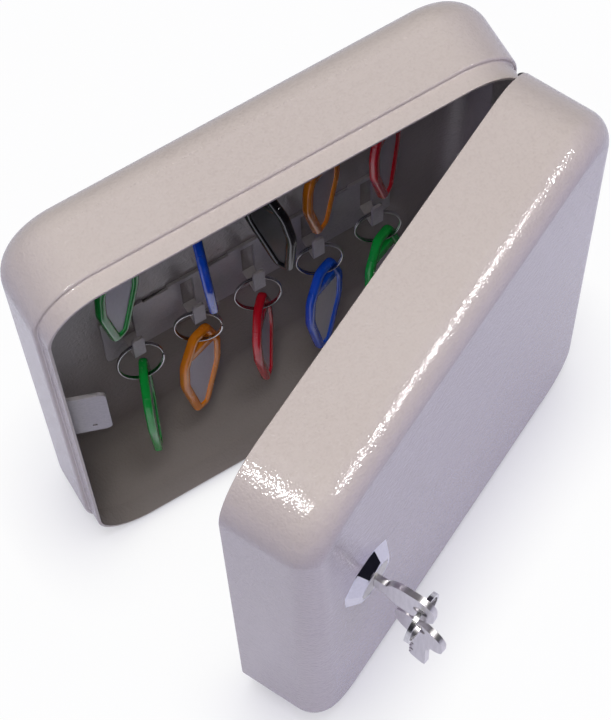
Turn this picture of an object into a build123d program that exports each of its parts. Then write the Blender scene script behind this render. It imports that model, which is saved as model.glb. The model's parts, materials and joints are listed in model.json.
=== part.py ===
# Wall key cabinet: a drawn steel body and a deep drawn door on a piano hinge,
# two plates of stamped hooks, a cam lock with its keys, and ten key tags.
# Millimetres. X runs to the hinge side, Y to the wall, Z up.
# The origin is the middle of the four wall holes, on the back face.
# The door side is built closed and then turned about the hinge pin to its rest angle.
import os

from build123d import *

# Sheet metal shells
cabinet_width = 160.0
cabinet_height = 200.0
corner_radius = 21.0
sheet = 1.0
body_depth = 27.0
body_edge_radius = 10.5
lip_length = 6.0
lip_inset = 1.5
door_depth = 31.0
door_edge_radius = 9.2
door_gap = 4.5
step_round = 0.8
joggle_round = 0.5
rim_round = 0.3

# Wall fixing
wall_hole_span_x = 122.0
wall_hole_span_z = 152.0
wall_hole_radius = 3.0

# Piano hinge
door_rest_angle = 25.8
hinge_end_margin = 22.0
knuckle_count = 13
knuckle_radius = 2.0
knuckle_gap = 0.3
pin_radius = 1.0
pin_clearance = 0.05
pin_overhang = 0.6
leaf_thickness = 0.8
leaf_width = 11.0
leaf_slot_clearance = 0.6

# Hook plates
hook_count = 5
hook_pitch = 22.0
upper_hook_below_top = 34.0
lower_hook_above_bottom = 77.0
plate_thickness = 1.0
plate_margin_x = 9.0
plate_below_hooks = 10.0
plate_above_slots = 2.5
plate_corner = 2.0
hook_width = 4.0
hook_thickness = 1.0
hook_valley = 6.3
hook_leg = 13.0
hook_bend = 0.8
hook_tip_round = 1.2
slot_clearance = 0.3
notch_width = 9.0
notch_depth = 1.5

# Strike bracket on the free side wall
strike_thickness = 1.2
strike_middle_z = 12.0
strike_height = 29.0
strike_flange = 11.0
strike_setback = 5.0
strike_joggle = 1.8
strike_joggle_run = 3.6
strike_neck = 3.2
strike_reach = 13.5
strike_forward = 6.0
strike_bend = 1.0
strike_corner = 2.4
strike_dimple_radius = 0.8

# Cam lock in the door
lock_from_edge = 26.0
lock_height = 16.0
bezel_base = 22.0
bezel_top = 15.0
bezel_height = 3.5
bezel_sides = 8
bezel_round = 0.4
barrel_radius = 9.5
barrel_flat = 16.4
barrel_length = 27.0
barrel_hole_clearance = 0.15
nut_across = 23.0
nut_thickness = 4.0
plug_radius = 5.8
plug_clearance = 0.05
plug_shoulder = 1.5
plug_shoulder_radius = 6.6
stem_side = 7.0
stem_length = 2.2
cam_thickness = 2.0
cam_width = 13.0
cam_reach = 19.0
cam_crank = 7.4
cam_crank_start = 7.0
cam_crank_run = 3.0
screw_head_radius = 4.6
screw_head_height = 2.4
screw_head_round = 0.8
screw_shank_radius = 2.4
screw_length = 7.0
screw_slot_width = 1.1
screw_slot_depth = 1.2

# Keys and their ring
key_thickness = 2.0
blade_width = 6.4
blade_length = 19.0
blade_clearance = 0.1
bow_width = 18.5
bow_length = 16.6
bow_round = 6.5
neck_length = 4.2
neck_width = 8.4
bow_hole_radius = 2.4
bow_hole_inset = 4.7
bit_depth_shallow = 0.9
bit_depth_deep = 1.6
bit_width = 1.8
bit_pitch = 3.4
bit_count = 4
blade_tip_chamfer = 1.4
key_ring_radius = 8.6
key_ring_wire = 1.0
key_ring_stack = 1.5
key_ring_gap = 0.45
spare_turn = -8.0

# Tag rings
tag_ring_radius = 8.0
tag_ring_wire = 0.95
tag_ring_stack = 1.6
tag_ring_drop = 1.2
tag_ring_seat = 4.6

# Key tags
tag_length = 45.0
tag_width = 18.5
tag_thickness = 3.0
tag_bar = 3.0
tag_top_width = 8.0
tag_tip_width = 6.5
tag_upper_shoulder = 12.5
tag_lower_shoulder = 24.0
tag_corner = 2.5
tag_eye_depth = 4.5
tag_bridge = 4.0
tag_edge_round = 0.7
tag_wire_gap = 0.8
label_thickness = 1.4
# Ring turn, lean and roll, then tag turn and lean, by row, from the free side to the hinge
tag_poses = {
    "upper": (
        (-18.0, 10.0, -5.0, 41.0, 7.0),
        (-16.0, 20.0, 11.0, 60.0, 8.0),
        (-20.0, 14.0, 11.0, 106.0, 11.0),
        (-18.0, 17.0, 11.0, 37.0, 5.0),
        (-20.0, 15.0, 11.0, 37.0, 5.0),
    ),
    "lower": (
        (-10.0, 19.0, 0.0, 63.0, 11.0),
        (-25.0, 12.0, 0.0, 31.0, 6.0),
        (-18.0, 18.0, 0.0, 50.0, 7.0),
        (-18.0, 15.0, 10.0, 34.0, 8.0),
        (-18.0, 14.0, 11.0, 42.0, 8.0),
    ),
}

# Places that follow from the sizes above
half_width = cabinet_width / 2
half_height = cabinet_height / 2
hinge_length = cabinet_height - 2 * hinge_end_margin
hook_rows = {
    "upper": half_height - upper_hook_below_top,
    "lower": lower_hook_above_bottom - half_height,
}
step_y = -body_depth
lip_front_y = step_y - lip_length
door_rim_y = step_y - door_gap
door_front_y = door_rim_y - door_depth
wall_inner_x = half_width - sheet
back_inner_y = -sheet
hinge_x = wall_inner_x - leaf_thickness + knuckle_radius
hinge_y = step_y - door_gap / 2
hinge_axis = Axis((hinge_x, hinge_y, 0), (0, 0, 1))
lock_x = lock_from_edge - half_width
plate_front_y = back_inner_y - plate_thickness
tag_ring_seat_y = plate_front_y - tag_ring_seat
tag_ring_inner = tag_ring_radius - tag_ring_wire


def block(width, height, radius, back_y, depth):
    """Rounded rectangle seen from the front, from back_y towards the front."""
    outline = Plane.XZ.offset(-back_y) * RectangleRounded(width, height, radius)
    return extrude(outline, depth)


def inset_block(inset, back_y, depth):
    """Block whose sides lie inside the cabinet's outline by inset."""
    return block(
        cabinet_width - 2 * inset,
        cabinet_height - 2 * inset,
        corner_radius - inset,
        back_y,
        depth,
    )


def box_between(low, high):
    """Box from its lowest to its highest corner."""
    size = [b - a for a, b in zip(low, high)]
    middle = [(a + b) / 2 for a, b in zip(low, high)]
    return Pos(*middle) * Box(*size)


def rod(radius, front_y, back_y):
    """Cylinder along Y on the lock's axis."""
    start = Plane.XZ.offset(-back_y) * Pos(lock_x, lock_height) * Circle(radius)
    return extrude(start, back_y - front_y)


def edges_at(shape, y):
    """Edges that lie wholly in the plane at this y."""
    return shape.edges().filter_by_position(Axis.Y, y, y)


def body_shell():
    outer = inset_block(0, 0, body_depth)
    outer = fillet(edges_at(outer, 0), body_edge_radius)
    cavity = inset_block(sheet, back_inner_y, body_depth - 2 * sheet)
    cavity = fillet(edges_at(cavity, back_inner_y), body_edge_radius - sheet)
    outer = fillet(edges_at(outer, step_y), step_round)
    lip = inset_block(lip_inset, step_y + sheet / 2, lip_length + sheet / 2)
    lip = fillet(edges_at(lip, lip_front_y), rim_round)
    mouth = inset_block(lip_inset + sheet, step_y + 2 * sheet, lip_length + 3 * sheet)
    shell = outer + lip
    step_face = shell.faces().filter_by(Axis.Y).sort_by(Axis.Y)[1]
    shell = fillet(step_face.inner_wires()[0].edges(), joggle_round)
    shell = shell - cavity - mouth
    slot_half = hinge_length / 2 + leaf_slot_clearance
    slot_inner_x = half_width - lip_inset - 2 * sheet
    slot_low = (slot_inner_x, lip_front_y - sheet, -slot_half)
    slot_high = (wall_inner_x, step_y + sheet, slot_half)
    shell -= box_between(slot_low, slot_high)
    for x in (-wall_hole_span_x / 2, wall_hole_span_x / 2):
        for z in (-wall_hole_span_z / 2, wall_hole_span_z / 2):
            hole = Plane.XZ.offset(-sheet) * Pos(x, z) * Circle(wall_hole_radius)
            shell -= extrude(hole, 3 * sheet)
    return shell


def door_shell():
    outer = inset_block(0, door_rim_y, door_depth)
    outer = fillet(edges_at(outer, door_front_y), door_edge_radius)
    outer = fillet(edges_at(outer, door_rim_y), rim_round)
    cavity = inset_block(sheet, door_rim_y, door_depth - sheet)
    cavity = fillet(edges_at(cavity, door_front_y + sheet), door_edge_radius - sheet)
    hole = barrel_section(barrel_hole_clearance)
    shell = outer - cavity
    return shell - extrude(hole, 2 * sheet, both=True)


def knuckle_spans(parity):
    """Low and high z of every other knuckle."""
    pitch = (hinge_length + knuckle_gap) / knuckle_count
    spans = []
    for number in range(parity, knuckle_count, 2):
        low = -hinge_length / 2 + number * pitch
        spans.append((low, low + pitch - knuckle_gap))
    return spans


def hinge_leaf(side, parity, bore_radius):
    """Leaf on the body for side 1, on the door for side -1."""
    inner_x = wall_inner_x - leaf_thickness
    near = sorted((hinge_y, hinge_y + side * leaf_width))
    plate_low = (inner_x, near[0], -hinge_length / 2)
    plate_high = (wall_inner_x, near[1], hinge_length / 2)
    leaf = box_between(plate_low, plate_high)
    relief = knuckle_radius + knuckle_gap
    for low, high in knuckle_spans(1 - parity):
        cut_low = (inner_x - relief, hinge_y - relief, low - knuckle_gap)
        cut_high = (hinge_x + relief, hinge_y + relief, high + knuckle_gap)
        leaf -= box_between(cut_low, cut_high)
    for low, high in knuckle_spans(parity):
        barrel = Pos(hinge_x, hinge_y, (low + high) / 2) * Cylinder(knuckle_radius, high - low)
        leaf += barrel
    bore = Pos(hinge_x, hinge_y, 0) * Cylinder(bore_radius, 2 * hinge_length)
    return leaf - bore


def hinge_pin():
    length = hinge_length + 2 * pin_overhang
    pin = Pos(hinge_x, hinge_y, 0) * Cylinder(pin_radius, length)
    return chamfer(pin.edges().filter_by(GeomType.CIRCLE), pin_overhang / 2)


def hook(x, z):
    """Stamped J hook whose valley floor is at z, in front of the plate."""
    leg_front_y = plate_front_y - hook_valley - hook_thickness
    floor = box_between(
        (x - hook_width / 2, leg_front_y, z - hook_thickness),
        (x + hook_width / 2, back_inner_y, z),
    )
    leg = box_between(
        (x - hook_width / 2, leg_front_y, z - hook_thickness),
        (x + hook_width / 2, leg_front_y + hook_thickness, z + hook_leg),
    )
    bent = floor + leg
    across = bent.edges().filter_by(Axis.X)
    outer_bend = across.sort_by(Axis.Y)[:2].sort_by(Axis.Z)[0]
    bent = fillet(outer_bend, hook_bend + hook_thickness / 2)
    tips = bent.edges().filter_by(Axis.Y).group_by(Axis.Z)[-1]
    return fillet(tips, hook_tip_round)


def hook_plate(row_z):
    slot_height = hook_valley + hook_leg
    half_x = (hook_count - 1) * hook_pitch / 2 + plate_margin_x
    low_z = row_z - hook_thickness - plate_below_hooks
    high_z = row_z + slot_height + plate_above_slots
    plate = box_between((-half_x, plate_front_y, low_z), (half_x, back_inner_y, high_z))
    plate = fillet(plate.edges().filter_by(Axis.Y), plate_corner)
    first_x = -(hook_count - 1) * hook_pitch / 2
    slot_half = hook_width / 2 + slot_clearance
    for number in range(hook_count):
        x = first_x + number * hook_pitch
        slot_low = (x - slot_half, plate_front_y - sheet, row_z)
        slot_high = (x + slot_half, back_inner_y + sheet, row_z + slot_height)
        plate -= box_between(slot_low, slot_high)
        plate += hook(x, row_z)
    for number in range(hook_count - 1):
        x = first_x + (number + 0.5) * hook_pitch
        notch_low = (x - notch_width / 2, plate_front_y - sheet, high_z - notch_depth)
        notch_high = (x + notch_width / 2, back_inner_y + sheet, high_z + sheet)
        plate -= box_between(notch_low, notch_high)
    return plate


def strike_bracket():
    """Bent strap: a flange on the side wall, a joggle past the lip and a tab that leans forward."""
    wall_x = -wall_inner_x
    bend_y = step_y + strike_setback
    centre = FilletPolyline(
        (wall_x, bend_y + strike_flange),
        (wall_x, bend_y),
        (wall_x + strike_joggle, bend_y - strike_joggle_run),
        (wall_x + strike_joggle, bend_y - strike_joggle_run - strike_neck),
        (wall_x + strike_reach, step_y - strike_forward),
        radius=strike_bend,
    )
    section = make_face(offset(centre, strike_thickness, side=Side.LEFT, closed=True))
    low_z = strike_middle_z - strike_height / 2
    strap = extrude(Pos(0, 0, low_z) * section, strike_height)
    free_end = strap.faces().sort_by(Axis.X)[-1]
    ends = free_end.edges().filter_by(Axis.Z, reverse=True)
    strap = fillet(ends, strike_corner)
    dimple_x = wall_x + strike_reach - 2 * strike_corner
    dimple = Plane.XZ.offset(-step_y) * Pos(dimple_x, low_z + 2 * strike_corner)
    return strap - extrude(dimple * Circle(strike_dimple_radius), 2 * strike_forward)


def barrel_section(clearance):
    """Double D section of the lock barrel at the door's front."""
    round_part = Circle(barrel_radius + clearance)
    flats = Rectangle(barrel_flat + 2 * clearance, 2 * barrel_radius + 4 * clearance)
    return Plane.XZ.offset(-door_front_y) * Pos(lock_x, lock_height) * (round_part & flats)


def lock_body():
    place = Pos(lock_x, lock_height) * Rot(0, 0, 180 / bezel_sides)
    base = Plane.XZ.offset(-door_front_y)
    top = base.offset(bezel_height)
    lower = base * place * RegularPolygon(bezel_base / 2, bezel_sides, major_radius=False)
    upper = top * place * RegularPolygon(bezel_top / 2, bezel_sides, major_radius=False)
    bezel = loft([lower.face(), upper.face()])
    bezel = fillet(edges_at(bezel, door_front_y - bezel_height), bezel_round)
    barrel = extrude(barrel_section(0), -barrel_length)
    bore = rod(
        plug_radius + plug_clearance,
        door_front_y - 2 * bezel_height,
        door_front_y + barrel_length + sheet,
    )
    seat = rod(
        plug_shoulder_radius + plug_clearance,
        door_front_y - 2 * bezel_height,
        door_front_y - bezel_height + plug_shoulder,
    )
    return bezel + barrel - bore - seat


def lock_nut():
    start_y = door_front_y + sheet + nut_thickness
    place = Plane.XZ.offset(-start_y) * Pos(lock_x, lock_height)
    hexagon = place * RegularPolygon(nut_across / 2, 6, major_radius=False)
    ring = extrude(hexagon, nut_thickness)
    bore_radius = barrel_radius + barrel_hole_clearance
    return ring - rod(bore_radius, start_y - 2 * nut_thickness, start_y + sheet)


def plug_back_y():
    return door_front_y + barrel_length


def lock_plug():
    front_y = door_front_y - bezel_height
    shoulder_back_y = front_y + plug_shoulder - plug_clearance
    plug = rod(plug_radius, front_y, plug_back_y() + plug_clearance)
    plug += rod(plug_shoulder_radius, front_y, shoulder_back_y)
    stem_start = Plane.XZ.offset(-(plug_back_y() + plug_clearance + stem_length))
    stem = stem_start * Pos(lock_x, lock_height) * Rectangle(stem_side, stem_side)
    plug += extrude(stem, stem_length)
    keyway_half_x = key_thickness / 2 + blade_clearance
    keyway_half_z = blade_width / 2 + blade_clearance
    low = (lock_x - keyway_half_x, front_y - sheet, lock_height - keyway_half_z)
    high = (lock_x + keyway_half_x, front_y + blade_length + sheet, lock_height + keyway_half_z)
    plug -= box_between(low, high)
    tapped = rod(screw_shank_radius, plug_back_y() - screw_length, front_y + 2 * barrel_length)
    return plug - tapped


def lock_cam():
    """Cranked cam that hangs down when the lock is open."""
    hub_front_y = plug_back_y() + plug_clearance
    knee_z = lock_height - cam_crank_start
    low_z = knee_z - cam_crank_run
    end_z = lock_height - cam_reach
    crank_y = hub_front_y + cam_crank
    outline = Polyline(
        (hub_front_y, lock_height + cam_width / 2),
        (hub_front_y, knee_z),
        (crank_y, low_z),
        (crank_y, end_z),
        (crank_y + cam_thickness, end_z),
        (crank_y + cam_thickness, low_z + cam_thickness / 2),
        (hub_front_y + cam_thickness, knee_z + cam_thickness / 2),
        (hub_front_y + cam_thickness, lock_height + cam_width / 2),
        close=True,
    )
    side = Plane.YZ.offset(lock_x - cam_width / 2) * make_face(outline)
    cam = extrude(side, cam_width)
    corners = cam.edges().filter_by(Axis.Y)
    cam = fillet(corners.group_by(Axis.Z)[-1], cam_width / 2 - sheet)
    corners = cam.edges().filter_by(Axis.Y)
    cam = fillet(corners.group_by(Axis.Z)[0], 2 * cam_thickness)
    hole = Plane.XZ.offset(-(hub_front_y + 2 * cam_thickness)) * Pos(lock_x, lock_height)
    return cam - extrude(hole * Rectangle(stem_side, stem_side), 4 * cam_thickness)


def cam_screw():
    seat_y = plug_back_y() + plug_clearance + stem_length
    head = rod(screw_head_radius, seat_y, seat_y + screw_head_height)
    head = fillet(edges_at(head, seat_y + screw_head_height), screw_head_round)
    shank = rod(screw_shank_radius, seat_y - screw_length, seat_y)
    slot_low = (lock_x - screw_head_radius, seat_y + screw_head_height - screw_slot_depth)
    slot = box_between(
        (*slot_low, lock_height - screw_slot_width / 2),
        (lock_x + screw_head_radius, seat_y + 2 * screw_head_height,
         lock_height + screw_slot_width / 2),
    )
    return head + shank - slot


def key_blank():
    """Key on the YZ plane: shoulder at the origin, blade to +Y, bow to -Y."""
    blade = Pos(blade_length / 2, 0) * Rectangle(blade_length, blade_width)
    blade = chamfer(blade.vertices().group_by(Axis.X)[-1], blade_tip_chamfer)
    neck = Pos(-neck_length / 2, 0) * Rectangle(neck_length, neck_width)
    bow_middle = -neck_length - bow_length / 2
    bow = Pos(bow_middle, 0) * RectangleRounded(bow_length, bow_width, bow_round)
    profile = blade + neck + bow
    for number in range(bit_count):
        x = blade_length - blade_tip_chamfer - bit_width - number * bit_pitch
        depth = bit_depth_deep if number % 2 else bit_depth_shallow
        bit = Pos(x, blade_width / 2) * Rectangle(bit_width, 2 * depth)
        profile -= bit
    hole_x = -neck_length - bow_length + bow_hole_inset
    profile -= Pos(hole_x, 0) * Circle(bow_hole_radius)
    return extrude(Plane.YZ * profile, key_thickness / 2, both=True)


def key_shoulder_y():
    return door_front_y - bezel_height - blade_clearance


def key_hole_y():
    return key_shoulder_y() - neck_length - bow_length + bow_hole_inset


def main_key():
    return Pos(lock_x, key_shoulder_y(), lock_height) * key_blank()


def split_ring(radius, wire, stack):
    """Flat wire ring about the Y axis, as thick as its two turns."""
    disc = extrude(Plane.XZ * Circle(radius), stack / 2, both=True)
    return disc - extrude(Plane.XZ * Circle(radius - wire), stack, both=True)


def key_ring_place():
    """Middle of the ring that hangs in the key's bow."""
    hole_bottom = lock_height - bow_hole_radius
    inner = key_ring_radius - key_ring_wire
    return Pos(lock_x, key_hole_y(), hole_bottom + key_ring_gap - inner)


def key_ring():
    return key_ring_place() * split_ring(key_ring_radius, key_ring_wire, key_ring_stack)


def spare_key():
    """Second key, hanging from the ring by its bow with the blade down."""
    wire_top = key_ring_place().position.Z - key_ring_radius + key_ring_wire
    hole_to_origin = neck_length + bow_length - bow_hole_inset
    hang_z = wire_top + key_ring_gap - bow_hole_radius
    place = Pos(lock_x, key_hole_y(), hang_z) * Rot(0, 0, spare_turn)
    place *= Rot(-90, 0, 0) * Pos(0, hole_to_origin, 0)
    return place * key_blank()


def tag_outline(inset):
    """Long hexagon with its top edge at the origin, hanging down."""
    half = tag_width / 2
    top = tag_top_width / 2
    tip = tag_tip_width / 2
    outline = Polyline(
        (-top, 0),
        (-half, -tag_upper_shoulder),
        (-half, -tag_lower_shoulder),
        (-tip, -tag_length),
        (tip, -tag_length),
        (half, -tag_lower_shoulder),
        (half, -tag_upper_shoulder),
        (top, 0),
        close=True,
    )
    face = make_face(outline)
    if inset:
        face = offset(face, -inset, kind=Kind.INTERSECTION)
        return face
    return fillet(face.vertices(), tag_corner)


def tag_band(high, low):
    """Strip across the tag between two heights."""
    return Pos(0, (high + low) / 2) * Rectangle(2 * tag_width, high - low)


def tag_frame():
    opening = tag_outline(tag_bar)
    bridge_top = -tag_bar - tag_eye_depth
    opening -= tag_band(bridge_top, bridge_top - tag_bridge)
    frame = extrude(Plane.XZ * tag_outline(0), tag_thickness / 2, both=True)
    rims = edges_at(frame, -tag_thickness / 2) + edges_at(frame, tag_thickness / 2)
    frame = chamfer(rims, tag_edge_round)
    return frame - extrude(Plane.XZ * opening, tag_thickness, both=True)


def tag_label():
    bridge_low = -tag_bar - tag_eye_depth - tag_bridge
    window = tag_outline(tag_bar) & tag_band(bridge_low, -tag_length)
    return extrude(Plane.XZ * window, label_thickness / 2, both=True)


def ring_place(x, z, turn, lean, roll):
    """The ring hangs over the hook's floor, turned, leaning to the front and rolled aside."""
    hang = Pos(x, tag_ring_seat_y, z)
    hang *= Rot(0, 0, turn) * Rot(-lean, 0, 0) * Rot(0, -roll, 0)
    return hang * Pos(0, 0, tag_ring_drop - tag_ring_inner)


def tag_place(ring_middle, turn, lean):
    """The tag's top bar rests on the ring's lowest wire."""
    wire = ring_middle * Pos(0, 0, -tag_ring_inner)
    bar_low = Pos(wire.position) * Rot(-lean, 0, 0) * Rot(0, 0, turn)
    return bar_low * Pos(0, 0, tag_bar + tag_wire_gap)


def save(shape, node):
    export_step(shape, f"parts/{node}.step")


def save_door_side(shape, node):
    save(shape.rotate(hinge_axis, door_rest_angle), node)


def main():
    os.makedirs("parts", exist_ok=True)
    save(body_shell(), "body_shell")
    save(hinge_leaf(1, 0, pin_radius), "hinge_leaf_body")
    save(hinge_pin(), "hinge_pin")
    save(strike_bracket(), "strike_bracket")
    ring = split_ring(tag_ring_radius, tag_ring_wire, tag_ring_stack)
    frame = tag_frame()
    label = tag_label()
    for row, z in hook_rows.items():
        save(hook_plate(z), f"hook_plate_{row}")
        for number in range(hook_count):
            x = (number - (hook_count - 1) / 2) * hook_pitch
            ring_turn, ring_lean, roll, tag_turn, tag_lean = tag_poses[row][number]
            ring_middle = ring_place(x, z, ring_turn, ring_lean, roll)
            place = tag_place(ring_middle, tag_turn, tag_lean)
            save(ring_middle * ring, f"tag_ring_{row}_{number + 1}")
            save(place * frame, f"tag_frame_{row}_{number + 1}")
            save(place * label, f"tag_label_{row}_{number + 1}")
    save_door_side(door_shell(), "door_shell")
    save_door_side(hinge_leaf(-1, 1, pin_radius + pin_clearance), "hinge_leaf_door")
    save_door_side(lock_body(), "lock_body")
    save_door_side(lock_nut(), "lock_nut")
    save_door_side(lock_plug(), "lock_plug")
    save_door_side(lock_cam(), "lock_cam")
    save_door_side(cam_screw(), "cam_screw")
    save_door_side(main_key(), "main_key")
    save_door_side(key_ring(), "key_ring")
    save_door_side(spare_key(), "spare_key")


main()
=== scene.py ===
import json
import math

import bmesh
import bpy
import numpy
from mathutils import Matrix, Vector

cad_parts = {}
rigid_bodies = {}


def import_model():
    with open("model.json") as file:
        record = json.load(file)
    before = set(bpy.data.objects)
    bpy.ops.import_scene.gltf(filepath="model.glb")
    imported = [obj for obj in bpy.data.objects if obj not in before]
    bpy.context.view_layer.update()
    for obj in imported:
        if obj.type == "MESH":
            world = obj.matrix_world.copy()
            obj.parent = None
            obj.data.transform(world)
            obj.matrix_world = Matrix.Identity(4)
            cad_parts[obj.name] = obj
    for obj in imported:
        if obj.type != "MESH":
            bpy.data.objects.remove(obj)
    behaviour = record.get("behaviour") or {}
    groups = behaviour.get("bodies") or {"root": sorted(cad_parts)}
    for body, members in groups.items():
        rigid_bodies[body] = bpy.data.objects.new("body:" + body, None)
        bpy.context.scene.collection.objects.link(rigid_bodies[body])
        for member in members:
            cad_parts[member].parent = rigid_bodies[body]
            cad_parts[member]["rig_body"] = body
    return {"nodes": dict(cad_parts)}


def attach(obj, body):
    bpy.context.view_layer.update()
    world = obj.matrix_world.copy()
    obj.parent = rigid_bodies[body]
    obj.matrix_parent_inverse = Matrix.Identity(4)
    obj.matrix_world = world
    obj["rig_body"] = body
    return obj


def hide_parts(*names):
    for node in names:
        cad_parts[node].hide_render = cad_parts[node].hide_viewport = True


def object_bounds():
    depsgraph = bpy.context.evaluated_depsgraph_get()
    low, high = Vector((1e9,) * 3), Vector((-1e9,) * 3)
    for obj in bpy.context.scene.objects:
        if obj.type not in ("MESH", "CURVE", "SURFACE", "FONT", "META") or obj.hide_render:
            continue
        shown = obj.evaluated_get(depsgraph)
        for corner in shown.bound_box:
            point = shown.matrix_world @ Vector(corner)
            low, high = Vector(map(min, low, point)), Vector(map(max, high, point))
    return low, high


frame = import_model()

cadBounds = [list(corner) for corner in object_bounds()]
mm = 0.001


class Term:  # a shader socket that takes Python maths
    def __init__(self, nodes, socket):
        self.nodes = nodes
        self.socket = socket

    def maths(self, operation, first, second):
        return self.nodes.node("ShaderNodeMath", {"operation": operation}, {0: first, 1: second})

    def __add__(self, other):
        return self.maths("ADD", self, other)

    def __radd__(self, other):
        return self.maths("ADD", other, self)

    def __mul__(self, other):
        return self.maths("MULTIPLY", self, other)

    def __rmul__(self, other):
        return self.maths("MULTIPLY", other, self)


class NodeSet:  # makes and links the nodes of one material or of the world
    def __init__(self, tree):
        self.tree = tree

    def node(self, kind, settings, values, output=0):
        made = self.tree.nodes.new(kind)
        for key, value in settings.items():
            setattr(made, key, value)
        for key, value in values.items():
            self.feed(made.inputs[key], value)
        return Term(self, made.outputs[output])

    def feed(self, socket, value):
        if isinstance(value, Term):
            self.tree.links.new(value.socket, socket)
        else:
            socket.default_value = value

    def larger(self, first, second):
        return self.node("ShaderNodeMath", {"operation": "MAXIMUM"}, {0: first, 1: second})

    def plainWhite(self, eyeShare, mirrorShare):  # how much plain white each kind of ray sees
        eye = self.node("ShaderNodeLightPath", {}, {}, "Is Camera Ray")
        mirror = self.node("ShaderNodeLightPath", {}, {}, "Is Glossy Ray")
        glass = self.node("ShaderNodeLightPath", {}, {}, "Is Transmission Ray")
        return self.larger(self.larger(eye * eyeShare, mirror * mirrorShare), glass * mirrorShare)

    def mixed(self, share, first, second):  # two shaders
        return self.node("ShaderNodeMixShader", {}, {0: share, 1: first, 2: second})


class Finish(NodeSet):  # one material
    def __init__(self, name):
        self.material = bpy.data.materials.new(name)
        self.material.use_nodes = True
        super().__init__(self.material.node_tree)
        self.surface = self.tree.nodes["Principled BSDF"]
        self.place = self.node("ShaderNodeTexCoord", {}, {}, "Object")

    def set(self, values):
        for name, value in values.items():
            self.feed(self.surface.inputs[name], value)

    def noise(self, scale, detail, roughness, stretch=(1, 1, 1)):
        where = self.place
        if stretch != (1, 1, 1):
            where = self.node("ShaderNodeMapping", {}, {"Vector": where, "Scale": stretch})
        values = {"Vector": where, "Scale": scale, "Detail": detail, "Roughness": roughness}
        return self.node("ShaderNodeTexNoise", {}, values)

    def cells(self, scale):
        return self.node("ShaderNodeTexVoronoi", {"feature": "SMOOTH_F1"},
                         {"Vector": self.place, "Scale": scale}, "Distance")

    def band(self, value, low, high):  # 0 below low, 1 above high
        return self.node("ShaderNodeMapRange", {"interpolation_type": "SMOOTHSTEP"},
                         {"Value": value, "From Min": low, "From Max": high}, "Result")

    def blend(self, factor, first, second):  # two colours
        colours = [colour if isinstance(colour, Term) else (*colour, 1) for colour in (first, second)]
        return self.node("ShaderNodeMix", {"data_type": "RGBA"},
                         {0: factor, 6: colours[0], 7: colours[1]}, 2)

    def bump(self, height, distance):
        return self.node("ShaderNodeBump", {}, {"Height": height, "Distance": distance})


def finishPiece(bm, name, node, finish, smooth=35):  # stands for a CAD node
    mesh = bpy.data.meshes.new(name)
    bm.to_mesh(mesh)
    bm.free()
    piece = bpy.data.objects.new(name, mesh)
    bpy.context.scene.collection.objects.link(piece)
    mesh.materials.append(finish.material)
    mesh.shade_smooth()
    mesh.set_sharp_from_angle(angle=math.radians(smooth))
    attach(piece, frame["nodes"][node]["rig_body"])
    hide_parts(node)
    return piece


def cadCopy(node, merge=2e-6):  # the node's mesh with its loose triangles joined up
    bm = bmesh.new()
    bm.from_mesh(frame["nodes"][node].data)
    bmesh.ops.remove_doubles(bm, verts=bm.verts, dist=merge)
    return bm


def softEdges(bm, width, segments, above):  # rounds every edge sharper than the angle
    sharp = [edge for edge in bm.edges
             if len(edge.link_faces) == 2 and edge.calc_face_angle(0) > math.radians(above)]
    bmesh.ops.bevel(bm, geom=sharp, offset=width, offset_type="OFFSET", segments=segments, profile=0.5,
                    affect="EDGES", clamp_overlap=True, material=-1)


def weighNormals(piece):  # keeps the shading of flat faces flat beside rounded edges
    weigh = piece.modifiers.new("flat_faces", "WEIGHTED_NORMAL")
    weigh.keep_sharp = True
    weigh.weight = 80


def mainAxes(node):  # middle and directions of a node's mesh, the longest direction first
    points = numpy.array([vert.co for vert in frame["nodes"][node].data.vertices])
    points = numpy.unique(points.round(6), axis=0)
    middle = points.mean(0)
    directions = numpy.linalg.svd(points - middle, full_matrices=False)[2]
    spans = [(points - middle) @ direction for direction in directions]
    return Vector(middle), [Vector(direction) for direction in directions], spans


# Two paints on the steel: hammer paint on the shells, and a plainer grey one on what's inside.
hammerPaint = {
    "colour": (0.600, 0.535, 0.490),   # of the crests
    "lowColour": (0.565, 0.500, 0.458),
    "patchColour": (0.625, 0.565, 0.520),
    # painted shade: the darker colour of the faces that look inwards, and how strongly it is mixed in
    "insideShadeColour": (0.22, 0.20, 0.19),
    "insideShadeShare": 0.75,
    "patchScale": 14,                  # patches to a metre
    "patchShare": 0.5,
    "peelScale": 1250,                 # dimples to a metre
    "peelHeight": 0.19 * mm,
    "waveScale": 420,
    "roughness": (0.09, 0.13),
    "wormScale": 1300,                 # clear coat in wormlike patches
    "gloss": (0.0, 0.08),              # its weight between the worms and on them
}


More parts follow.
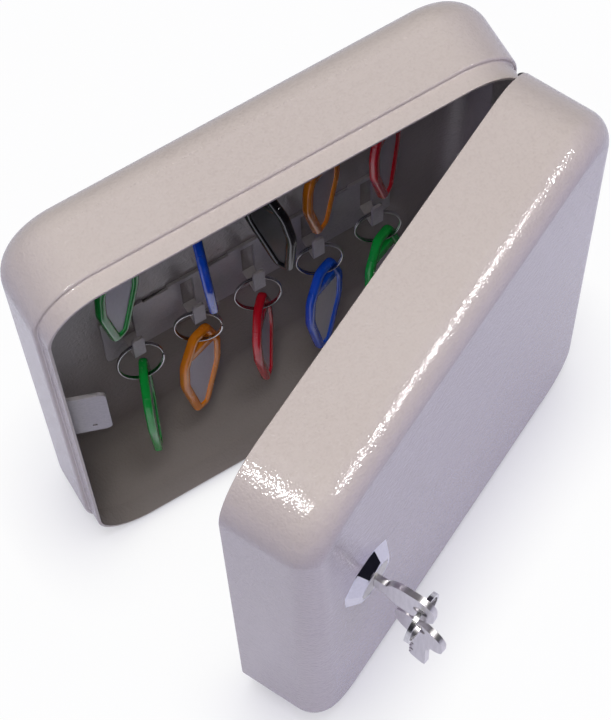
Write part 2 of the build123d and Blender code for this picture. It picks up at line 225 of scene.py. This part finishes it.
def makeHammerPaint(name, values):
    paint = Finish(name)
    peel = paint.noise(values["peelScale"], 1.0, 0.4)
    cells = paint.cells(values["peelScale"])
    waves = paint.noise(values["waveScale"], 1.0, 0.5)
    patches = paint.noise(values["patchScale"], 3.0, 0.6)
    worms = paint.noise(values["wormScale"], 1.0, 0.5)
    # mask of the faces that look inwards, which get painted shade
    inside = paint.node("ShaderNodeAttribute", {"attribute_name": "inside"}, {}, "Fac")
    height = peel * 0.7 + cells * 0.3 + waves * 0.5
    tone = paint.blend(paint.band(height, 0.45, 0.85), values["lowColour"], values["colour"])
    tone = paint.blend(paint.band(patches, 0.35, 0.75) * values["patchShare"], tone, values["patchColour"])
    # painted shade: the faces marked as looking inwards darken towards the inside colour
    tone = paint.blend(inside * values["insideShadeShare"], tone, values["insideShadeColour"])
    low, high = values["roughness"]
    dull, bright = values["gloss"]
    paint.set({
        "Base Color": tone,
        "Roughness": low + (high - low) * paint.band(waves, 0.3, 0.7),
        "Normal": paint.bump(height, values["peelHeight"]),
        "Coat Weight": dull + (bright - dull) * paint.band(worms, 0.43, 0.57),
        "Coat Roughness": 0.20,
        "Specular IOR Level": 0.46,
    })
    return paint


innerPaint = {
    "colour": (0.40, 0.375, 0.385),
    "lowColour": (0.35, 0.33, 0.34),
    "patchColour": (0.44, 0.41, 0.42),
    # painted shade for faces that look inwards (no fitting carries that mark)
    "insideShadeColour": (0.22, 0.20, 0.19),
    "insideShadeShare": 0.75,
    "patchScale": 14,
    "patchShare": 0.5,
    "peelScale": 900,
    "peelHeight": 0.10 * mm,
    "waveScale": 2600,
    "roughness": (0.30, 0.40),
    "wormScale": 1300,
    "gloss": (0.0, 0.3),
}
metals = {  # colour, colour in the grain, roughness and how the grain is stretched
    "zincSteel": ("zinc_steel", (0.60, 0.59, 0.58), (0.46, 0.45, 0.44), 0.34, (1, 1, 1)),
    "chromePlate": ("chrome_plate", (0.74, 0.73, 0.81), (0.68, 0.67, 0.75), 0.05, (1, 1, 1)),
    "nickelZinc": ("nickel_zinc", (0.66, 0.65, 0.63), (0.52, 0.51, 0.50), 0.26, (1, 1, 1)),
    "keySteel": ("key_steel", (0.80, 0.78, 0.80), (0.66, 0.64, 0.66), 0.26, (1, 1, 0.1)),
    "ringSteel": ("ring_steel", (0.78, 0.78, 0.78), (0.62, 0.62, 0.62), 0.15, (1, 1, 1)),
}
grain = {
    "scale": 900,
    "height": 0.006 * mm,
    "smudgeScale": 60,
    "smudge": 0.12,          # how much rougher a smudge is
}


def makeMetal(name, colour, dark, rough, stretch):
    metal = Finish(name)
    lines = metal.noise(grain["scale"], 3.0, 0.6, stretch)
    smudges = metal.noise(grain["smudgeScale"], 3.0, 0.6)
    metal.set({
        "Base Color": metal.blend(metal.band(lines, 0.3, 0.7) * 0.7, dark, colour),
        "Metallic": 1.0,
        "Roughness": rough + grain["smudge"] * metal.band(smudges, 0.45, 0.8) + 0.05 * lines,
        "Normal": metal.bump(lines, grain["height"]),
    })
    return metal


tagColours = {  # colour and its deeper tone
    "green": ((0.006, 0.44, 0.060), (0.004, 0.34, 0.045)),
    "orange": ((0.95, 0.30, 0.010), (0.82, 0.22, 0.006)),
    "red": ((0.66, 0.006, 0.022), (0.52, 0.004, 0.015)),
    "blue": ((0.006, 0.10, 0.72), (0.004, 0.065, 0.55)),
    "black": ((0.012, 0.012, 0.014), (0.007, 0.007, 0.008)),
}
tagOrder = {  # from the free side to the hinge side
    "upper": ("green", "blue", "black", "orange", "red"),
    "lower": ("green", "orange", "red", "blue", "green"),
}


plasticLook = {
    "cloudScale": 90,
    "grainScale": 1500,
    "grainHeight": 0.01 * mm,
    "scuffScale": 500,
    "scuffStretch": (1, 1, 0.15),
    "roughness": 0.20,
    "scuffed": 0.18,         # how much rougher a scuff is
    "coat": 0.4,
}


def makePlastic(name, colour, deep):
    plastic = Finish(name)
    cloud = plastic.noise(plasticLook["cloudScale"], 2.0, 0.5)
    moulded = plastic.noise(plasticLook["grainScale"], 2.0, 0.5)
    scuffs = plastic.noise(plasticLook["scuffScale"], 4.0, 0.7, plasticLook["scuffStretch"])
    plastic.set({
        "Base Color": plastic.blend(plastic.band(cloud, 0.3, 0.7) * 0.6, colour, deep),
        "Roughness": plasticLook["roughness"] + plasticLook["scuffed"] * plastic.band(scuffs, 0.55, 0.75),
        "Normal": plastic.bump(moulded, plasticLook["grainHeight"]),
        "Coat Weight": plasticLook["coat"],
        "Coat Roughness": 0.08,
        "Subsurface Weight": 0.12,
        "Subsurface Radius": (0.002, 0.002, 0.002),
        "Subsurface Scale": 1.0,
    })
    return plastic


cardColours = {
    "plain": (0.55, 0.53, 0.60),
    "fibre": (0.49, 0.46, 0.54),
    "wash": (0.60, 0.585, 0.64),
}
cardLook = {
    "fibreScale": 1200,
    "fibreStretch": (1, 1, 0.4),
    "fibreHeight": 0.01 * mm,
    "washScale": 60,
    "roughness": 0.42,
    "coat": 0.5,             # the clear film over it
    "darkShade": 0.05,       # the black tag's card, as a share of the pale card's colours
}


def makeCard(name, shade):
    paper = Finish(name)
    fibre = paper.noise(cardLook["fibreScale"], 4.0, 0.65, cardLook["fibreStretch"])
    wash = paper.noise(cardLook["washScale"], 2.0, 0.5)
    colours = {part: [shade * value for value in colour] for part, colour in cardColours.items()}
    tone = paper.blend(paper.band(fibre, 0.35, 0.7) * 0.5, colours["plain"], colours["fibre"])
    paper.set({
        "Base Color": paper.blend(paper.band(wash, 0.3, 0.7) * 0.4, tone, colours["wash"]),
        "Roughness": cardLook["roughness"] + 0.1 * fibre,
        "Normal": paper.bump(fibre, cardLook["fibreHeight"]),
        "Coat Weight": cardLook["coat"],
        "Coat Roughness": 0.12,
    })
    return paper


shellPaint = makeHammerPaint("hammer_paint", hammerPaint)
fittingPaint = makeHammerPaint("fitting_paint", innerPaint)
steels = {metal: makeMetal(*values) for metal, values in metals.items()}
paleLabel = makeCard("label_paper", 1.0)
darkLabel = makeCard("label_dark", cardLook["darkShade"])
tagPlastics = {colour: makePlastic("tag_" + colour, *tones) for colour, tones in tagColours.items()}
print("finishes ready")


def paintInsideShade(shell):  # painted shade: marks the faces that look inwards, where the paint is darkened to stand in for the shade inside the shell
    mesh = shell.data
    points = [vert.co for vert in mesh.vertices]
    low = Vector([min(point[axis] for point in points) for axis in range(3)])
    high = Vector([max(point[axis] for point in points) for axis in range(3)])
    middle = (low + high) / 2
    inside = [float(face.normal.dot(face.center - middle) < 0) for face in mesh.polygons]
    mesh.attributes.new("inside", "FLOAT", "FACE").data.foreach_set("value", inside)


def dressNodes():  # the metal pieces keep their shape and get a finish
    dress = (
        (shellPaint, ("body_shell", "door_shell")),
        (fittingPaint, ("hook_plate_upper", "hook_plate_lower", "strike_bracket")),
        (steels["zincSteel"], ("hinge_leaf_body", "hinge_leaf_door", "hinge_pin")),
        (steels["chromePlate"], ("lock_body",)),
        (steels["nickelZinc"], ("lock_nut", "lock_plug", "lock_cam")),
        (steels["zincSteel"], ("cam_screw",)),
        (steels["keySteel"], ("main_key", "spare_key")),
        (steels["ringSteel"], ("key_ring",)),
    )
    for finish, nodes in dress:
        for node in nodes:
            piece = finishPiece(cadCopy(node), node + "_finish", node, finish, 30)
            weighNormals(piece)
            # the shells get painted shade on their inward faces
            if node.endswith("_shell"):
                paintInsideShade(piece)


dressNodes()
print("shells and metal parts dressed")


ringShape = {
    "wire": 0.35 * mm,       # half the thickness of one turn
    "turns": 2.0,
    "steps": 128,
    "sides": 10,
}


def makeSplitRing(node, name):
    middle, directions, spans = mainAxes(node)
    outer = max(spans[0])
    wire = ringShape["wire"]
    bm = bmesh.new()
    start = Matrix.Translation((outer - wire, 0, -wire)) @ Matrix.Rotation(math.radians(90), 4, "X")
    bmesh.ops.create_circle(bm, radius=wire, segments=ringShape["sides"], matrix=start)
    bmesh.ops.spin(bm, geom=bm.edges[:], cent=(0, 0, 0), axis=(0, 0, 1),
                   dvec=(0, 0, 2 * wire / (ringShape["steps"] / ringShape["turns"])),
                   angle=math.radians(360 * ringShape["turns"]), steps=ringShape["steps"],
                   use_merge=False, use_duplicate=False)
    ends = [edge for edge in bm.edges if edge.is_boundary]
    bmesh.ops.edgeloop_fill(bm, edges=ends)
    bmesh.ops.recalc_face_normals(bm, faces=bm.faces)
    turn = directions[2].to_track_quat("Z", "Y").to_matrix().to_4x4()
    bmesh.ops.transform(bm, matrix=Matrix.Translation(middle) @ turn, verts=bm.verts)
    return finishPiece(bm, name, node, steels["ringSteel"], 50)


tagShape = {
    "length": 45.0 * mm,
    "width": 18.5 * mm,
    "thickness": 3.0 * mm,
    "topWidth": 8.0 * mm,
    "tipWidth": 6.5 * mm,
    "upperShoulder": 12.5 * mm,
    "lowerShoulder": 24.0 * mm,
    "corner": 2.2 * mm,
    "bar": 3.0 * mm,
    "barRound": 1.0 * mm,
    "bridgeTop": 7.5 * mm,
    "bridgeDepth": 4.0 * mm,
    "bridgeThickness": 2.16 * mm,
    "bridgeRound": 0.5 * mm,
    "bridgeShort": 3.6 * mm,     # the bridge is this much narrower than the tag
    "cardThickness": 1.4 * mm,
    "cardInset": 2.55 * mm,
    "wireGap": 0.8 * mm,         # between the wire and the frame's top bar
}
tagHang = {  # turn and lean of each tag as modelled, then turn, lean and roll as it's shown
    "upper": ((41, 7, 23, 7, 7), (60, 8, 72, 13, 1.6), (106, 11, 114, 14, -3.6), (37, 5, 28, 5, 4.6),
              (37, 5, 34.5, 5.7, 2.5)),
    "lower": ((63, 11, 65, 14.5, 5), (31, 6, 21, 9.5, 8), (50, 7, 48, 10, 4), (34, 8, 25, 10.5, 8),
              (42, 8, 26, 12, 7)),
}


def tagCorners(values):
    half = values["width"] / 2
    top = values["topWidth"] / 2
    tip = values["tipWidth"] / 2
    right = [(top, 0), (half, -values["upperShoulder"]), (half, -values["lowerShoulder"]),
             (tip, -values["length"])]
    return right + [(-x, z) for x, z in reversed(right)]


def tagOutline(bm, values):  # one face with rounded corners, hanging down from the origin
    verts = [bm.verts.new((x, 0, z)) for x, z in tagCorners(values)]
    bm.faces.new(verts)
    bmesh.ops.bevel(bm, geom=verts, offset=values["corner"], offset_type="OFFSET", segments=5, profile=0.5,
                    affect="VERTICES", clamp_overlap=True, material=-1)
    bm.faces.ensure_lookup_table()
    return bm.faces[0]


def tagMatrix(node):  # the tag's top middle, with X across, Z up along the tag
    middle, directions = mainAxes(node)[:2]
    down = directions[0] if directions[0].z < 0 else -directions[0]
    facing = directions[2] if directions[2].y < 0 else -directions[2]
    across = down.cross(facing)
    points = numpy.array([vert.co for vert in frame["nodes"][node].data.vertices])
    reach = [((points - numpy.array(middle)) @ numpy.array(way)) for way in (down, across)]
    top = middle + down * min(reach[0]) + across * (max(reach[1]) + min(reach[1])) / 2
    turn = Matrix((across, -facing, -down)).transposed().to_4x4()
    return Matrix.Translation(top) @ turn


def tagTurn(turn, lean, roll):
    return (Matrix.Rotation(math.radians(-lean), 4, "X") @ Matrix.Rotation(math.radians(roll), 4, "Y")
            @ Matrix.Rotation(math.radians(turn), 4, "Z"))


def hungMatrix(row, number):  # the tag turned about the wire that it hangs on
    place = tagMatrix(f"tag_frame_{row}_{number + 1}")
    oldTurn, oldLean, turn, lean, roll = tagHang[row][number]
    change = tagTurn(turn, lean, roll) @ tagTurn(oldTurn, oldLean, 0).inverted()
    wire = place @ Vector((0, 0, -tagShape["bar"] - tagShape["wireGap"]))
    return Matrix.Translation(wire) @ change @ Matrix.Translation(-wire) @ place


def makeTagFrame(values):
    bm = bmesh.new()
    face = tagOutline(bm, values)
    bmesh.ops.inset_region(bm, faces=[face], thickness=values["bar"], use_even_offset=True,
                           use_boundary=True)
    bmesh.ops.delete(bm, geom=[face], context="FACES")
    walls = bmesh.ops.extrude_face_region(bm, geom=bm.faces[:])
    moved = [item for item in walls["geom"] if isinstance(item, bmesh.types.BMVert)]
    bmesh.ops.translate(bm, verts=moved, vec=(0, values["thickness"], 0))
    bmesh.ops.translate(bm, verts=bm.verts, vec=(0, -values["thickness"] / 2, 0))
    bmesh.ops.recalc_face_normals(bm, faces=bm.faces)
    softEdges(bm, values["barRound"], 4, 60)
    return bm


def addBridge(bm, values):  # the web between the eye and the window
    size = (values["width"] - values["bridgeShort"], values["bridgeThickness"], values["bridgeDepth"])
    web = bmesh.ops.create_cube(bm, size=1.0)["verts"]
    bmesh.ops.scale(bm, verts=web, vec=size)
    bmesh.ops.translate(bm, verts=web, vec=(0, 0, -values["bridgeTop"] - values["bridgeDepth"] / 2))
    edges = [edge for edge in bm.edges if all(vert in web for vert in edge.verts)]
    bmesh.ops.bevel(bm, geom=edges, offset=values["bridgeRound"], offset_type="OFFSET", segments=3,
                    profile=0.5, affect="EDGES", clamp_overlap=True, material=-1)


def makeCardShape(values):
    bm = bmesh.new()
    face = tagOutline(bm, values)
    bmesh.ops.inset_region(bm, faces=[face], thickness=values["cardInset"], use_even_offset=True,
                           use_boundary=True)
    outside = [other for other in bm.faces if other is not face]
    bmesh.ops.delete(bm, geom=outside, context="FACES")
    geometry = bm.verts[:] + bm.edges[:] + bm.faces[:]
    top = -values["bridgeTop"] - values["bridgeDepth"] / 2
    bmesh.ops.bisect_plane(bm, geom=geometry, plane_co=(0, 0, top), plane_no=(0, 0, 1), clear_outer=True)
    walls = bmesh.ops.extrude_face_region(bm, geom=bm.faces[:])
    moved = [item for item in walls["geom"] if isinstance(item, bmesh.types.BMVert)]
    bmesh.ops.translate(bm, verts=moved, vec=(0, values["cardThickness"], 0))
    bmesh.ops.translate(bm, verts=bm.verts, vec=(0, -values["cardThickness"] / 2, 0))
    bmesh.ops.recalc_face_normals(bm, faces=bm.faces)
    return bm


def makeTags():
    for row, colours in tagOrder.items():
        for number, colour in enumerate(colours):
            tail = f"{row}_{number + 1}"
            makeSplitRing("tag_ring_" + tail, "split_ring_" + tail)
            place = hungMatrix(row, number)
            bm = makeTagFrame(tagShape)
            addBridge(bm, tagShape)
            bmesh.ops.transform(bm, matrix=place, verts=bm.verts)
            finishPiece(bm, "tag_holder_" + tail, "tag_frame_" + tail, tagPlastics[colour])
            bm = makeCardShape(tagShape)
            bmesh.ops.transform(bm, matrix=place, verts=bm.verts)
            card = darkLabel if colour == "black" else paleLabel
            finishPiece(bm, "tag_card_" + tail, "tag_label_" + tail, card)


makeTags()
print("tags hung")


studio = {
    "floorSize": 6.0,
    "floorColour": (0.76, 0.76, 0.89),
    "floorWhite": 0.96,      # share of plain white that the eye sees on the floor
    "mirrorWhite": 0.35,     # and the share that mirrors and glass see there
    # how far from the object the painted contact shadow reaches
    "shadowReach": 0.032,
    "worldColour": (0.70, 0.70, 1.0),
    "worldStrength": 0.07,
    "tentRadius": 2.6,       # dark cloth round the set, for mirrors only
    "tentGap": 0.01,         # between the floor and its rim
    "tentColour": (0.06, 0.06, 0.07),
}
lamps = {  # a glint lights only the gloss, and a fill doesn't show in it
    "glintLeft": {"towards": (-0.57, -0.04, 0.82), "distance": 1.1, "size": (0.14, 0.14), "power": 5.5,
                  "colour": (1.0, 0.98, 0.96)},
    "glintRight": {"towards": (0.51, -0.40, 0.76), "distance": 1.2, "size": (0.15, 0.15), "power": 5.6,
                   "colour": (1.0, 0.98, 0.97)},
    "topFill": {"towards": (0.0, 0.04, 1.0), "distance": 1.4, "size": (0.6, 0.6), "power": 13.4,
                "colour": (1.0, 0.985, 1.0)},
    "gapFill": {"towards": (-0.20, -0.27, 0.94), "distance": 1.3, "size": (0.25, 0.25), "power": 3.1,
                "colour": (1.0, 0.95, 0.91)},
    "frontFill": {"towards": (0.62, -0.77, 0.12), "distance": 1.4, "size": (1.0, 0.7), "power": 5.5,
                  "colour": (0.56, 0.52, 1.0)},
    "leftFill": {"towards": (-0.96, -0.24, 0.12), "distance": 1.4, "size": (1.0, 0.7), "power": 3.0,
                 "colour": (0.56, 0.52, 1.0)},
}
cameraView = {
    "azimuth": -27.82,       # degrees from the front, round the vertical
    "elevation": 69.24,
    "roll": -3.1,
    "lens": 139.86,
    "place": (-0.146937, -0.31602, 0.807019),
}


def stageMesh(bm, name, finish):  # a piece of the studio
    mesh = bpy.data.meshes.new(name)
    bm.to_mesh(mesh)
    bm.free()
    mesh.materials.append(finish.material)
    piece = bpy.data.objects.new(name, mesh)
    bpy.context.scene.collection.objects.link(piece)
    return piece


def makeFloor():
    low = Vector(cadBounds[0])
    high = Vector(cadBounds[1])
    middle = (low + high) / 2
    bm = bmesh.new()
    bmesh.ops.create_grid(bm, x_segments=1, y_segments=1, size=studio["floorSize"] / 2)
    bmesh.ops.translate(bm, verts=bm.verts, vec=(middle.x, middle.y, low.z))
    paper = Finish("floor_paper")
    paper.set({"Base Color": (*studio["floorColour"], 1), "Roughness": 0.9})
    # partly painted shadow: near the object ambient occlusion lowers the floor's plain white, so the floor
    # darkens there; the lit floor beneath shows the real shadow
    openness = paper.node("ShaderNodeAmbientOcclusion", {}, {"Distance": studio["shadowReach"]}, "AO")
    white = paper.plainWhite(studio["floorWhite"], studio["mirrorWhite"]) * openness
    glow = paper.node("ShaderNodeEmission", {}, {})
    lit = Term(paper, paper.surface.outputs[0])
    paper.feed(paper.tree.nodes["Material Output"].inputs["Surface"], paper.mixed(white, lit, glow))
    stageMesh(bm, "floor", paper)


def makeTent():  # mirrors see a dark room above the white floor, and nothing is shaded by it
    bm = bmesh.new()
    bmesh.ops.create_uvsphere(bm, u_segments=48, v_segments=24, radius=studio["tentRadius"])
    low = [vert for vert in bm.verts if vert.co.z < -studio["tentGap"]]
    bmesh.ops.delete(bm, geom=low, context="VERTS")
    bmesh.ops.translate(bm, verts=bm.verts, vec=(0, 0, cadBounds[0][2] + studio["tentGap"]))
    felt = Finish("black_felt")
    felt.set({"Base Color": (*studio["tentColour"], 1), "Roughness": 1.0, "Specular IOR Level": 0.0})
    tent = stageMesh(bm, "tent", felt)
    tent.visible_camera = False
    tent.visible_diffuse = False
    tent.visible_shadow = False
    tent.visible_transmission = False


def makeWorld():
    world = bpy.data.worlds.new("studio")
    bpy.context.scene.world = world
    world.use_nodes = True
    world.node_tree.nodes.clear()
    room = NodeSet(world.node_tree)
    soft = room.node("ShaderNodeBackground", {}, {"Color": (*studio["worldColour"], 1),
                                                  "Strength": studio["worldStrength"]})
    white = room.node("ShaderNodeBackground", {}, {"Color": (1, 1, 1, 1)})
    output = world.node_tree.nodes.new("ShaderNodeOutputWorld")
    room.feed(output.inputs["Surface"], room.mixed(room.plainWhite(1.0, 1.0), soft, white))


def makeLamps():
    low = Vector(cadBounds[0])
    high = Vector(cadBounds[1])
    target = (low + high) / 2
    for name, values in lamps.items():
        light = bpy.data.lights.new(name, "AREA")
        light.shape = "RECTANGLE"
        light.size, light.size_y = values["size"]
        light.energy = values["power"]
        light.color = values["colour"]
        lamp = bpy.data.objects.new(name, light)
        way = Vector(values["towards"]).normalized()
        turn = way.to_track_quat("Z", "Y").to_matrix().to_4x4()
        lamp.matrix_world = Matrix.Translation(target + way * values["distance"]) @ turn
        lamp.visible_glossy = not name.endswith("Fill")
        lamp.visible_diffuse = not name.startswith("glint")
        bpy.context.scene.collection.objects.link(lamp)


def makeCamera():
    azimuth = math.radians(cameraView["azimuth"])
    elevation = math.radians(cameraView["elevation"])
    back = Vector((math.sin(azimuth) * math.cos(elevation), -math.cos(azimuth) * math.cos(elevation),
                   math.sin(elevation)))
    right = (-back).cross(Vector((0, 0, 1))).normalized()
    up = right.cross(-back)
    roll = math.radians(cameraView["roll"])
    across = right * math.cos(roll) + up * math.sin(roll)
    above = up * math.cos(roll) - right * math.sin(roll)
    camera = bpy.data.cameras.new("camera")
    camera.lens = cameraView["lens"]
    camera.sensor_width = 36
    camera.clip_start = 0.01
    holder = bpy.data.objects.new("camera", camera)
    bpy.context.scene.collection.objects.link(holder)
    turn = Matrix((across, above, back)).transposed().to_4x4()
    holder.matrix_world = Matrix.Translation(Vector(cameraView["place"])) @ turn
    bpy.context.scene.camera = holder


makeFloor()
makeTent()
makeWorld()
makeLamps()
makeCamera()
bpy.context.scene.view_settings.view_transform = "Standard"
print("studio ready")
